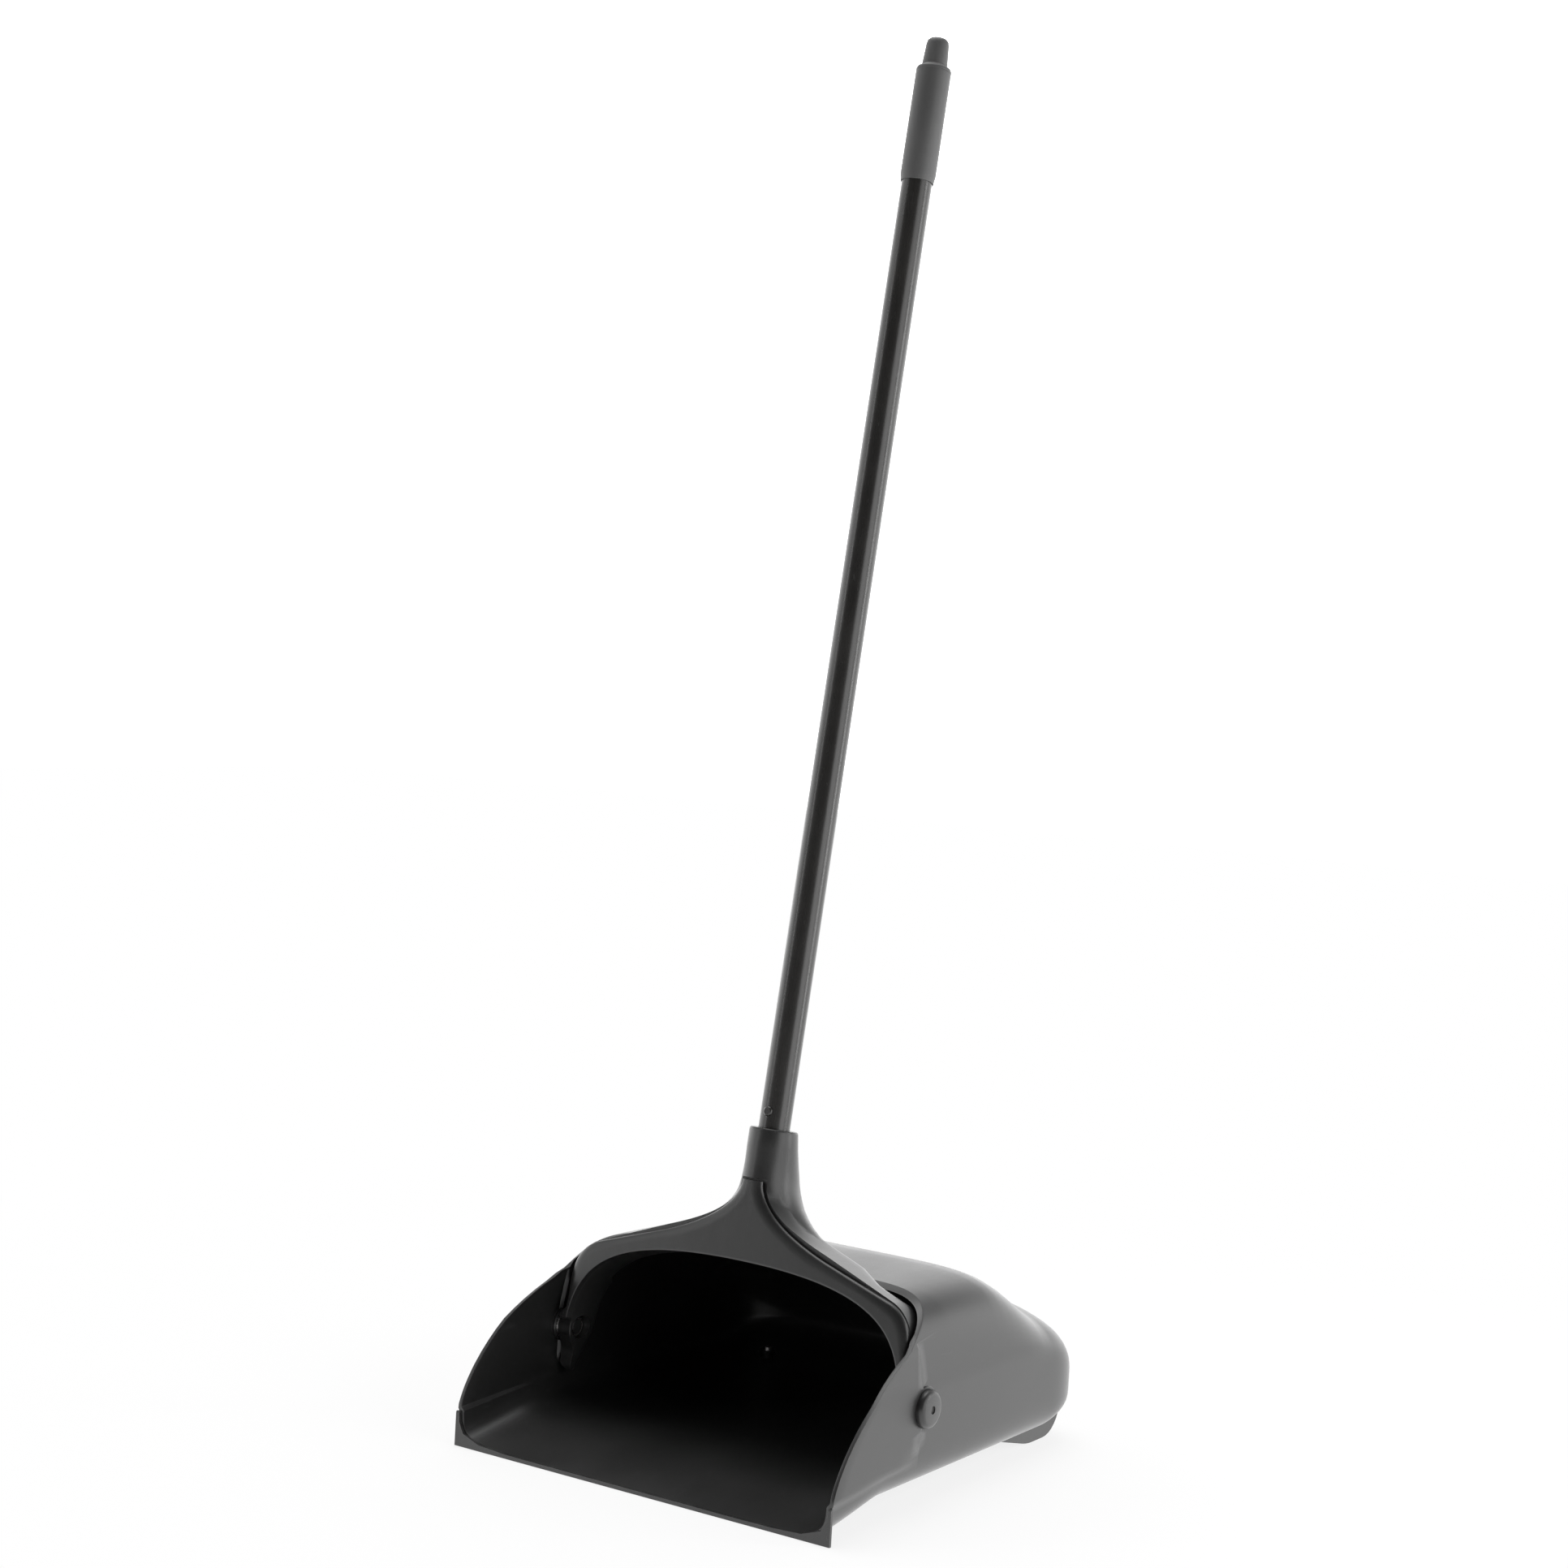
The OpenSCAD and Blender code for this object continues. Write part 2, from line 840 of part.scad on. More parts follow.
module handle_grip() {
    color("#2a2b2d")
        on_handle()
            difference() {
                translate([0, 0, grip_low])
                    rotate_extrude()
                        polygon([
                            [0, 0], [jacket_d / 2 + 0.7, 0], [grip_d / 2, 6],
                            [grip_d / 2, grip_len], [0, grip_len]
                        ]);
                translate([0, 0, grip_low - 1])
                    cylinder(d = jacket_d, h = grip_len + 2);
            }
}

module end_cap() {
    color("#242527")
        on_handle()
            translate([0, 0, grip_top])
                rotate_extrude()
                    polygon(rounded([
                        [0, -cap_plug, 0], [tube_bore / 2, -cap_plug, 0], [tube_bore / 2, 0, 0],
                        [grip_d / 2, 0, 0], [grip_d / 2, 3, 1.5], [tip_d / 2, 4.5, 0],
                        [tip_d / 2 - 1.2, tip_len, 5], [0, tip_len, 0]
                    ]));
}

pan_shell();
front_lip();
rear_skid();
skid_screws();
color("#2a2b2d") on_left() pivot_pin();  // left_pivot_pin
color("#2a2b2d") on_right() pivot_pin();  // right_pivot_pin
on_left() pin_washer();  // left_pin_washer
on_right() pin_washer();  // right_pin_washer
on_left() pin_clip();  // left_pin_clip
on_right() pin_clip();  // right_pin_clip
yoke_body();
yoke_face();
face_screws();
on_left() bush();  // left_bush
on_right() bush();  // right_bush
handle_tube();
tube_jacket();
tube_plug();
tube_rivet();
socket_screw();
handle_grip();
end_cap();
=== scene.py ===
import json
import math

import bmesh
import bpy
from mathutils import Matrix, Vector


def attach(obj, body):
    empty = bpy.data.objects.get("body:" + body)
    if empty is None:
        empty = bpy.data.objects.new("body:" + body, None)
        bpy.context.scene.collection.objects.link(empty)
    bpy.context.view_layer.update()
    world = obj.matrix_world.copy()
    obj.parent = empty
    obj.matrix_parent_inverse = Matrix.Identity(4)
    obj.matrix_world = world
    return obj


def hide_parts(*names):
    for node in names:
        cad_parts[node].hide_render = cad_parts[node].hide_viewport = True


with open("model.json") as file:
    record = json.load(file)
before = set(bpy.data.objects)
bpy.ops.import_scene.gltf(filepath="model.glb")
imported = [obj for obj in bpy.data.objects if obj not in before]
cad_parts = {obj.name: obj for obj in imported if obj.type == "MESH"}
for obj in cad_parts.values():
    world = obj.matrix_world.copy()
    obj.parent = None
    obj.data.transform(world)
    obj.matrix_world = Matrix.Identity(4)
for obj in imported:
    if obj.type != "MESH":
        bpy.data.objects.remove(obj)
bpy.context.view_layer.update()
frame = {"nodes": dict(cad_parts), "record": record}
MM = 0.001

# Sizes of the bin in millimetres, as in the part's source, with Y behind the lip
PAN_D = 324.0
HALF_W = 144.0
WALL = 3.4
LIP_WALL = 1.2
LIP_NOSE = 2.0
POST_H = 22.5
FLOOR_FRONT = 1.2
FLOOR_BACK = 7.0
RAMP_D = 60.0
WAIST_Z = 50.0
LEAN_IN = 0.2
LEAN_IN_Z = 75.0
HOOD_H = 126.0
HOOD_BACK_H = 98.5
HOOD_Y = 139.0
SLOPE_Y = PAN_D - 122
SLOPE_D = 76.0
NOSE_Y = PAN_D - 55.0
NOSE_Z = 37.5
CORNER_R = 59.0
# The cheek panels: how far they stand out, their rear edge, their sloping lower edge and their soft step
PANEL_STEP = 1.2
PANEL_Y = 99.5
PANEL_LOW = 20.5
PANEL_RISE = 0.0753
PANEL_FRONT = 40
PANEL_R = 12
PANEL_EDGE = 1.8
PANEL_INSET = 1.4
CHEEK_END = 96
# The thinner wall inside the hood's front edge, which makes room for the yoke
RELIEF_INSET = 1.8
RELIEF_END = 134
RELIEF_Z = 95.5
# Roundness of the section and of the back: high is boxy
LIP_POWER = 10.0
FLOOR_POWER = 6.3
HOOD_POWER = 9.0
BACK_POWER = 3.3
ROUND_RATE = 1.3
NOSE_POWER = 3.2
BACK_ROUND = 1.7
NOSE_END = 0.998
# The bosses of the skid's screws: sideways and rearward place from the part's origin, and their top
SKID_SCREW_X = 97.0
SKID_SCREW_Y = 126.0
BOSS_TOP = 18.4

# Sizes of the yoke and the pivot, with depths and heights from the pivot
PIVOT = (0.0, 103.0 - PAN_D / 2, 62.0)
LEAN = math.radians(9.65)
PIN_R = 5
PIN_BORE_R = 5.05
BUSH_R = 6.65
CLIP_X = 129.8
CLIP_T = 1.2
CLIP_BORE_R = 4.4
WASHER_X = 137.8
WASHER_T = 1.2
HUB_R = 10
ARCH_H = 66.0
BELL_H = 118.0
SHOULDER = (61.92, 79.728)
ARM_X = 131.4
HUB_X = 137.4
ARM_TAIL = 29.0
BEND_R = 26.0
FLARE_TOP = 13
FLARE_LOW = 8
FLARE_R = 4.0
TAIL_R = 5.0
FACE_FRONT, LAND_FRONT, BODY_FRONT, BODY_BACK, BELL_BACK = -13.5, -10.0, -8.4, 15.1, 23.6
FACE_LOW = 6.0
FACE_NECK = 7.52
FLANK_FRONT = -10.6
FLANK_ROLL = 2.9
GROOVE_W = 1.6
GROOVE_DEPTH = 3.5
GROOVE_END = 86.4
FACE_SCREWS = ((-33.984, 79.728), (33.984, 79.728), (-87.984, 62.5), (87.984, 62.5))

# Sizes of the handle, with heights along it from the pivot
HANDLE_H = 940.0
HANDLE_BACK = 5.0
HANDLE_TOP = (HANDLE_H - PIVOT[2] + HANDLE_BACK * math.sin(LEAN)) / math.cos(LEAN)
TIP_LEN = 24.0
GRIP_LEN = 77.0
GRIP_TOP = HANDLE_TOP - TIP_LEN
GRIP_LOW = GRIP_TOP - GRIP_LEN
SOCKET_TOP = 152.0
SOCKET_FLOOR = 120.0
TUBE_LOW = SOCKET_FLOOR + 0.5
SOCKET_SCREW = (SOCKET_FLOOR + SOCKET_TOP) / 2
SOCKET_R = 10.475
RIVET_RISE = 11
JACKET_R = 10.425
TUBE_R = 9.525
BORE_R = 8.325
GRIP_R = 11.975

# The camera at the photograph's viewing angle: yaw, pitch and roll in degrees, its place in metres
CAMERA_TURN = (33.7585, 2.8192, 3.2955)
CAMERA_PLACE = (0.972352, -1.495033, 0.522537)
CAMERA_LENS = 62.51
CAMERA_SENSOR = 36.0


class Paint:
    """A shader socket that takes part in Python arithmetic."""

    def __init__(self, tree, socket=None):
        self.tree = tree
        self.socket = socket

    def node(self, kind, settings=None, sockets=None, out=0):
        made = self.tree.nodes.new(kind)
        for name, value in (settings or {}).items():
            if name == "stops":
                ramp = made.color_ramp.elements
                while len(ramp) < len(value):
                    ramp.new(0.5)
                for stop, (place, grey) in zip(ramp, value):
                    stop.position = place
                    stop.color = (grey, grey, grey, 1.0)
            else:
                setattr(made, name, value)
        for name, value in (sockets or {}).items():
            if isinstance(value, Paint):
                self.tree.links.new(value.socket, made.inputs[name])
            else:
                made.inputs[name].default_value = value
        return Paint(self.tree, made.outputs[out])

    def sum(self, operation, first, second):
        return self.node("ShaderNodeMath", {"operation": operation}, {0: first, 1: second})

    def __add__(self, other):
        return self.sum("ADD", self, other)

    def __radd__(self, other):
        return self.sum("ADD", other, self)

    def __sub__(self, other):
        return self.sum("SUBTRACT", self, other)

    def __rsub__(self, other):
        return self.sum("SUBTRACT", other, self)

    def __mul__(self, other):
        return self.sum("MULTIPLY", self, other)

    def __rmul__(self, other):
        return self.sum("MULTIPLY", other, self)

    def mixed(self, low, high):
        """A colour between two colours, by this value."""
        settings = {"data_type": "RGBA", "clamp_factor": True}
        return self.node("ShaderNodeMix", settings, {0: self, 6: low, 7: high}, 2)


def grey(value, warm=0.0):
    return (value * (1 + warm), value, value * (1 - warm), 1.0)


def coordinates(paint, stretch=(1.0, 1.0, 1.0), turn=(0.0, 0.0, 0.0)):
    place = paint.node("ShaderNodeTexCoord", out="Object")
    return paint.node("ShaderNodeMapping", None, {"Vector": place, "Scale": stretch, "Rotation": turn})


def noise(paint, where, scale, detail=3.0, rough=0.5):
    return paint.node(
        "ShaderNodeTexNoise", None,
        {"Vector": where, "Scale": scale, "Detail": detail, "Roughness": rough}, "Fac"
    )


def ramp(paint, value, *stops):
    return paint.node("ShaderNodeValToRGB", {"stops": stops}, {"Fac": value})


def worn_edges(paint, radius):
    """High along outer edges, from the angle between a rounded and the true normal."""
    round_normal = paint.node("ShaderNodeBevel", {"samples": 6}, {"Radius": radius})
    true_normal = paint.node("ShaderNodeNewGeometry", out="Normal")
    facing = paint.node(
        "ShaderNodeVectorMath", {"operation": "DOT_PRODUCT"}, {0: round_normal, 1: true_normal}, "Value"
    )
    return ramp(paint, 1.0 - facing, (0.02, 0.0), (0.16, 1.0))


def finish(name, **constants):
    """A new material with its main shader, and a paint that adds nodes to it."""
    material = bpy.data.materials.new(name)
    material.use_nodes = True
    tree = material.node_tree
    shader = tree.nodes["Principled BSDF"]
    for socket, value in constants.items():
        shader.inputs[socket.replace("_", " ")].default_value = value
    return material, Paint(tree), shader


def feed(paint, shader, **values):
    for socket, value in values.items():
        paint.tree.links.new(value.socket, shader.inputs[socket.replace("_", " ")])


def moulded(name, dark, light, rough, grain, scuff):
    """Black moulded plastic: fine spark grain, faint flow marks, polished and scuffed edges."""
    material, paint, shader = finish(name, IOR=1.49, Specular_IOR_Level=0.5)
    where = coordinates(paint)
    clouds = noise(paint, where, 11.0, 4.0)
    flow = noise(paint, coordinates(paint, (5.0, 1.0, 2.0)), 30.0, 3.0)
    spark = noise(paint, where, 1500.0, 2.0, 0.6)
    scratches = noise(paint, coordinates(paint, (900.0, 40.0, 300.0), (0.2, 0.1, 0.5)), 1.0, 2.0)
    lines = ramp(paint, scratches, (0.66, 0.0), (0.74, 1.0))
    patches = ramp(paint, noise(paint, where, 60.0, 5.0), (0.42, 0.0), (0.62, 1.0))
    wear = worn_edges(paint, 0.0012) * patches
    tone = ramp(paint, clouds, (0.3, 0.0), (0.72, 1.0))
    base = tone.mixed(dark, light)
    base = (lines * 0.10 * scuff).mixed(base, grey(0.11))
    base = (wear * 0.35 * scuff).mixed(base, grey(0.13))
    roughness = rough + (clouds - 0.5) * 0.16 + (spark - 0.5) * 0.10 + lines * 0.06 - wear * 0.08
    fine = paint.node("ShaderNodeBump", None, {"Strength": grain, "Distance": 0.00012, "Height": spark})
    wavy = paint.node(
        "ShaderNodeBump", None, {"Strength": 0.06, "Distance": 0.0012, "Height": flow, "Normal": fine}
    )
    feed(paint, shader, Base_Color=base, Roughness=roughness, Normal=wavy)
    return material


def glossy_jacket(name):
    """Glossy black plastic drawn over the tube, with faint lengthwise marks."""
    material, paint, shader = finish(name, IOR=1.5, Coat_Roughness=0.06)
    where = coordinates(paint)
    draw = noise(paint, coordinates(paint, (260.0, 260.0, 3.0)), 1.0, 3.0)
    clouds = noise(paint, where, 26.0, 3.0)
    specks = noise(paint, coordinates(paint, (500.0, 500.0, 90.0)), 1.0, 2.0)
    nicks = ramp(paint, specks, (0.70, 0.0), (0.77, 1.0))
    base = ramp(paint, clouds, (0.3, 0.0), (0.7, 1.0)).mixed(grey(0.014, 0.05), grey(0.022, 0.05))
    base = (nicks * 0.12).mixed(base, grey(0.10))
    roughness = 0.27 + (draw - 0.5) * 0.10 + (clouds - 0.5) * 0.08 + nicks * 0.12
    bump = paint.node("ShaderNodeBump", None, {"Strength": 0.05, "Distance": 0.0004, "Height": draw})
    feed(paint, shader, Base_Color=base, Roughness=roughness, Normal=bump)
    return material


def bright_steel(name):
    """Zinc plated steel with turned marks and dull spots."""
    material, paint, shader = finish(name, Metallic=1.0)
    where = coordinates(paint)
    turned_marks = noise(paint, coordinates(paint, (60.0, 1400.0, 1400.0)), 1.0, 2.0)
    spots = noise(paint, where, 240.0, 4.0)
    base = ramp(paint, spots, (0.35, 0.0), (0.7, 1.0)).mixed(grey(0.42, 0.02), grey(0.60, 0.01))
    roughness = 0.28 + (spots - 0.5) * 0.24 + (turned_marks - 0.5) * 0.16
    bump = paint.node(
        "ShaderNodeBump", None, {"Strength": 0.12, "Distance": 0.0001, "Height": turned_marks}
    )
    feed(paint, shader, Base_Color=base, Roughness=roughness, Normal=bump)
    return material


def bearing_nylon(name):
    """Natural nylon, slightly yellow and cloudy."""
    material, paint, shader = finish(name, IOR=1.53)
    where = coordinates(paint)
    clouds = noise(paint, where, 180.0, 4.0)
    grain = noise(paint, where, 2600.0)
    base = clouds.mixed(grey(0.46, 0.08), grey(0.60, 0.06))
    bump = paint.node("ShaderNodeBump", None, {"Strength": 0.1, "Distance": 0.0001, "Height": grain})
    feed(paint, shader, Base_Color=base, Roughness=0.42 + (clouds - 0.5) * 0.2, Normal=bump)
    return material


FINISHES = {
    "moulding": moulded("bin_plastic", grey(0.014), grey(0.020), 0.36, 0.20, 1.0),
    "face": moulded("face_plastic", grey(0.013), grey(0.018), 0.34, 0.16, 0.8),
    "lip": moulded("lip_plastic", grey(0.012), grey(0.017), 0.42, 0.28, 1.4),
    "jacket": glossy_jacket("jacket_gloss"),
    "steel": bright_steel("fastener_steel"),
    "bush": bearing_nylon("bush_nylon"),
}
GRIP_RUBBER = moulded("grip_rubber", grey(0.055), grey(0.078), 0.52, 0.45, 1.2)
SLOTS = {part["node"]: part["material_slot"] for part in frame["record"]["subparts"]}
BODY = {node: body for body, nodes in frame["record"]["behaviour"]["bodies"].items() for node in nodes}


def new_piece(name, bm, node, round_edges=0.3, smooth_angle=35.0, material=None):
    """Turns a bmesh into the piece that stands for a node, with rounded edges and smooth faces."""
    bmesh.ops.remove_doubles(bm, verts=bm.verts, dist=0.5e-6)
    mesh = bpy.data.meshes.new(name)
    for face in bm.faces:
        face.smooth = True
    for edge in bm.edges:
        edge.smooth = len(edge.link_faces) < 2 or edge.calc_face_angle(0.0) < math.radians(smooth_angle)
    bm.to_mesh(mesh)
    bm.free()
    piece = bpy.data.objects.new(name, mesh)
    bpy.context.scene.collection.objects.link(piece)
    mesh.materials.append(material or FINISHES[SLOTS[node]])
    if round_edges:
        bevel = piece.modifiers.new("edges", "BEVEL")
        bevel.width = round_edges * MM
        bevel.segments = 2
        bevel.limit_method = "ANGLE"
        bevel.angle_limit = math.radians(smooth_angle)
        bevel.harden_normals = True
    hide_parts(node)
    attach(piece, BODY[node])
    return piece


def from_solid(node, name, round_edges):
    """The node's own solid, merged, with its flat faces joined."""
    bm = bmesh.new()
    bm.from_mesh(frame["nodes"][node].data)
    bmesh.ops.remove_doubles(bm, verts=bm.verts, dist=2e-6)
    bmesh.ops.dissolve_limit(bm, angle_limit=math.radians(0.4), verts=bm.verts, edges=bm.edges)
    return new_piece(name, bm, node, round_edges)


def turned(profile, place, steps=72):
    """A turned shape: the profile's (radius, height) points spun about the place's Z axis."""
    bm = bmesh.new()
    verts = [bm.verts.new((radius * MM, 0.0, height * MM)) for radius, height in profile]
    edges = [bm.edges.new((a, b)) for a, b in zip(verts, verts[1:] + verts[:1])]
    bmesh.ops.spin(
        bm, geom=verts + edges, cent=(0, 0, 0), axis=(0, 0, 1), angle=2 * math.pi,
        steps=steps, use_merge=True, use_duplicate=False
    )
    bmesh.ops.remove_doubles(bm, verts=bm.verts, dist=1e-7)
    bmesh.ops.dissolve_degenerate(bm, dist=1e-7, edges=bm.edges)
    bmesh.ops.recalc_face_normals(bm, faces=bm.faces)
    bmesh.ops.transform(bm, matrix=place, verts=bm.verts)
    return bm


def drawn(rings, closed_start=True, closed_end=True):
    """A skin through rings of points: one loop, extruded from ring to ring."""
    bm = bmesh.new()
    loop = bmesh.ops.create_circle(bm, segments=len(rings[0]), radius=1.0)["verts"]
    for vert, point in zip(loop, rings[0]):
        vert.co = Vector(point) * MM
    first = loop
    for ring_points in rings[1:]:
        edges = [bm.edges.get((a, b)) for a, b in zip(loop, loop[1:] + loop[:1])]
        made = set(bmesh.ops.extrude_edge_only(bm, edges=edges)["geom"]) & set(bm.verts)
        loop = [next(e.other_vert(v) for e in v.link_edges if e.other_vert(v) in made) for v in loop]
        for vert, point in zip(loop, ring_points):
            vert.co = Vector(point) * MM
    for wanted, verts in ((closed_start, first), (closed_end, loop)):
        if wanted:
            bmesh.ops.contextual_create(bm, geom=verts)
    return bm


def tidy_skin(bm):
    bmesh.ops.remove_doubles(bm, verts=bm.verts, dist=0.02 * MM)
    bmesh.ops.dissolve_degenerate(bm, dist=0.01 * MM, edges=bm.edges)
    bmesh.ops.recalc_face_normals(bm, faces=bm.faces)
    return bm


def join(first, second):
    """Adds the second bmesh to the first."""
    held = bpy.data.meshes.new("held")
    second.to_mesh(held)
    second.free()
    first.from_mesh(held)
    bpy.data.meshes.remove(held)
    return first


def joined(shapes):
    whole = shapes[0]
    for shape in shapes[1:]:
        whole = join(whole, shape)
    return whole


def worked(base, tool, operation):
    """The base with the tool's shape added to it or cut from it."""
    held = []
    for bm in (base, tool):
        mesh = bpy.data.meshes.new("held")
        bm.to_mesh(mesh)
        bm.free()
        held.append(bpy.data.objects.new("held", mesh))
        bpy.context.scene.collection.objects.link(held[-1])
    change = held[0].modifiers.new("change", "BOOLEAN")
    change.operation = operation
    change.solver = "EXACT"
    change.object = held[1]
    made = bpy.data.meshes.new_from_object(held[0].evaluated_get(bpy.context.evaluated_depsgraph_get()))
    bm = bmesh.new()
    bm.from_mesh(made)
    bpy.data.meshes.remove(made)
    for thing in held:
        bpy.data.meshes.remove(thing.data)
    return bm


at_lip = Matrix.Translation((0, -PAN_D / 2 * MM, 0))
at_pivot = Matrix.Translation(Vector(PIVOT) * MM)
in_yoke = at_pivot @ Matrix.Rotation(-LEAN, 4, "X")
on_handle = in_yoke @ Matrix.Translation((0, HANDLE_BACK * MM, 0))
SIDES = {
    "left": at_pivot @ Matrix.Rotation(-math.pi / 2, 4, "Y"),
    "right": at_pivot @ Matrix.Rotation(math.pi / 2, 4, "Y"),
}
SKID_SCREWS = [
    Matrix.Translation((x * MM, SKID_SCREW_Y * MM, 0)) for x in (-SKID_SCREW_X, SKID_SCREW_X)
]


def raised(base, x=0.0, y=0.0, z=0.0, to_back=False):
    place = base @ Matrix.Translation((x * MM, y * MM, z * MM))
    return place @ Matrix.Rotation(-math.pi / 2, 4, "X") if to_back else place


def ring(low, thick, outer, inner):
    return [(inner, low), (outer, low), (outer, low + thick), (inner, low + thick)]


def rod(low, high, radius):
    return [(0, low), (radius, low), (radius, high), (0, high)]


def clamp(value, low=0.0, high=1.0):
    return max(low, min(high, value))


def between(a, b, t):
    return a + (b - a) * t


def eased(t):
    return t * t * (3 - 2 * t)


def read_off(table, value):
    """The value of a table of (key, value) steps between two of its keys."""
    for (low, first), (high, second) in zip(table, table[1:]):
        if value < high:
            return between(first, second, clamp((value - low) / (high - low)))
    return table[-1][1]


def curve(a, b, c, d, t):
    """A point of the cubic curve from a to d, led by b and c."""
    s = 1 - t
    return tuple(
        p * s ** 3 + 3 * q * s * s * t + 3 * r * s * t * t + w * t ** 3 for p, q, r, w in zip(a, b, c, d)
    )


# Curves of the cheek's and the hood's front edge, as distance behind the lip and height
CHEEK_EDGE = (1, POST_H), (4, 43), (36, 80), (88, 96.5)
HOOD_EDGE = (90, 98.5), (108, 108), (119, 121.5), (HOOD_Y, 127)
# Height and distance behind the lip of the edge of the mouth: post, cheek and hood
MOUTH = [(-10.0, LIP_NOSE)]
for edge_curve, edge_steps in ((CHEEK_EDGE, 14), (HOOD_EDGE, 12)):
    for edge_step in range(edge_steps + 1):
        edge_y, edge_z = curve(*edge_curve, edge_step / edge_steps)
        MOUTH.append((edge_z, max(LIP_NOSE, edge_y)))


def crown(y):
    """Height of the hood along its middle."""
    return between(HOOD_H, HOOD_BACK_H, eased(clamp((y - SLOPE_Y) / SLOPE_D)))


def floor(y, inset):
    """Height of the floor's underside, or of its upper side for the inset of the inner skin."""
    rise = clamp(y / RAMP_D)
    thick = between(LIP_WALL, inset, rise) if inset > LIP_WALL else inset
    return between(FLOOR_FRONT, FLOOR_BACK, rise) + thick


def bin_point(y, angle, inset):
    """A point of the bin's section at a distance behind the lip, drawn in by an inset."""
    c, s = math.cos(angle), math.sin(angle)
    u = clamp((y - NOSE_Y) / (PAN_D - inset - NOSE_Y))
    nose = (1 - NOSE_END * u ** NOSE_POWER) ** (1 / NOSE_POWER)
    lift = (1 - NOSE_END * u ** BACK_ROUND) ** (1 / BACK_ROUND)
    half = HALF_W - PANEL_STEP - inset - CORNER_R * (1 - nose)
    middle = between(WAIST_Z, NOSE_Z, u)
    if s > 0:
        reach = (crown(y) - inset - middle) * lift
        power = between(HOOD_POWER, BACK_POWER, clamp((y - HOOD_Y) / (NOSE_Y - HOOD_Y)) ** ROUND_RATE)
    else:
        reach = (middle - floor(y, inset)) * lift
        power = between(LIP_POWER, FLOOR_POWER, clamp(y / RAMP_D))
    r = (abs(c) ** power + abs(s) ** power) ** (-1 / power)
    z = middle + reach * r * s
    return half * r * c * (1 - LEAN_IN * max(0.0, z - LEAN_IN_Z) / HALF_W), y, z


def in_panel(y, z, fade):
    """One on the raised cheek panel, nought outside it, with a soft step."""
    across = y - PANEL_Y + PANEL_R
    low = PANEL_LOW + PANEL_RISE * (y + PANEL_FRONT) - z + PANEL_R
    away = math.hypot(max(across, 0), max(low, 0)) + min(max(across, low), 0) - PANEL_R
    return eased(clamp(0.5 - away / PANEL_EDGE)) * fade


def outer_inset(y, z, fade):
    return -PANEL_STEP * in_panel(y, z, fade)


def inner_inset(y, z, fade):
    ahead, behind, above = (y - PANEL_Y) / 2, (RELIEF_END - y) / 5, (z - RELIEF_Z) / 2
    relief = eased(clamp(ahead)) * eased(clamp(behind)) * eased(clamp(above))
    return between(between(WALL, RELIEF_INSET, relief), PANEL_INSET, in_panel(y, z, fade))


# Columns in a quarter of the section, and rows of faces in each stretch from the mouth to the back
QUARTER = 40
FRONT_ROWS, STEP_ROWS, HOOD_ROWS, SIDE_ROWS, NOSE_ROWS = 8, 2, 6, 12, 16
SIDE_Y = HOOD_Y + 6


def bin_skin(inset_at, wall):
    """One side of the bin's wall, from the edge of its mouth to the back."""
    columns = []
    for k in range(4 * QUARTER):
        t = (k % QUARTER) / QUARTER * 2 - 1
        angle = math.radians(k // QUARTER * 90 + 45 + 45 * (0.3 * t + 0.7 * t ** 3))
        start = 100.0
        for again in range(5):
            start = read_off(MOUTH, bin_point(start, angle, wall)[2])
        if start < CHEEK_END:
            knots = (start, PANEL_Y - PANEL_EDGE / 2, PANEL_Y + PANEL_EDGE / 2, SIDE_Y)
        else:
            knots = (start, between(start, SIDE_Y, 0.5), between(start, SIDE_Y, 0.62), SIDE_Y)
        ys = [start]
        for low, high, rows in zip(knots, knots[1:], (FRONT_ROWS, STEP_ROWS, HOOD_ROWS)):
            ys += [between(low, high, (i + 1) / rows) for i in range(rows)]
        ys += [between(SIDE_Y, NOSE_Y, (i + 1) / SIDE_ROWS) for i in range(SIDE_ROWS)]
        end = PAN_D - wall
        ys += [between(NOSE_Y, end, math.sin(math.pi / 2 * (i + 1) / NOSE_ROWS)) for i in range(NOSE_ROWS)]
        fade = eased(clamp((CHEEK_END - start) / 6))
        column = []
        for y in ys:
            height = bin_point(y, angle, wall)[2]
            column.append(bin_point(y, angle, inset_at(y, height, fade) if y < HOOD_Y else wall))
        columns.append(column)
    return drawn([list(row) for row in zip(*columns)], closed_start=False)


def bin_shell():
    """The bin: an outer and an inner skin, joined around the mouth, with bosses and pivot pads."""
    shell = join(bin_skin(outer_inset, 0.0), bin_skin(inner_inset, WALL))
    rim = [e for e in shell.edges if len(e.link_faces) == 1]
    bmesh.ops.bridge_loops(shell, edges=rim)
    bmesh.ops.recalc_face_normals(shell, faces=shell.faces)
    above_posts = (POST_H + 1.5) * MM
    soft = [e for e in rim if e.is_valid and min(v.co.z for v in e.verts) > above_posts]
    bmesh.ops.bevel(
        shell, geom=soft, offset=0.8 * MM, segments=3, profile=0.5, affect="EDGES",
        material=-1, clamp_overlap=True
    )
    bmesh.ops.transform(shell, matrix=at_lip, verts=shell.verts)
    pad = [
        (PIN_BORE_R, 139), (11.1, 139), (11.5, 139.4), (11.5, 142), (13.75, 142), (13.75, 143.6),
        (13.35, HALF_W), (PIN_BORE_R, HALF_W)
    ]
    boss = [(0, 8), (5.5, 8), (5.5, 17.8), (4.9, BOSS_TOP), (0, BOSS_TOP)]
    added = [turned(pad, place) for place in SIDES.values()]
    added += [turned(boss, place, 40) for place in SKID_SCREWS]
    return worked(shell, joined(added), "UNION")


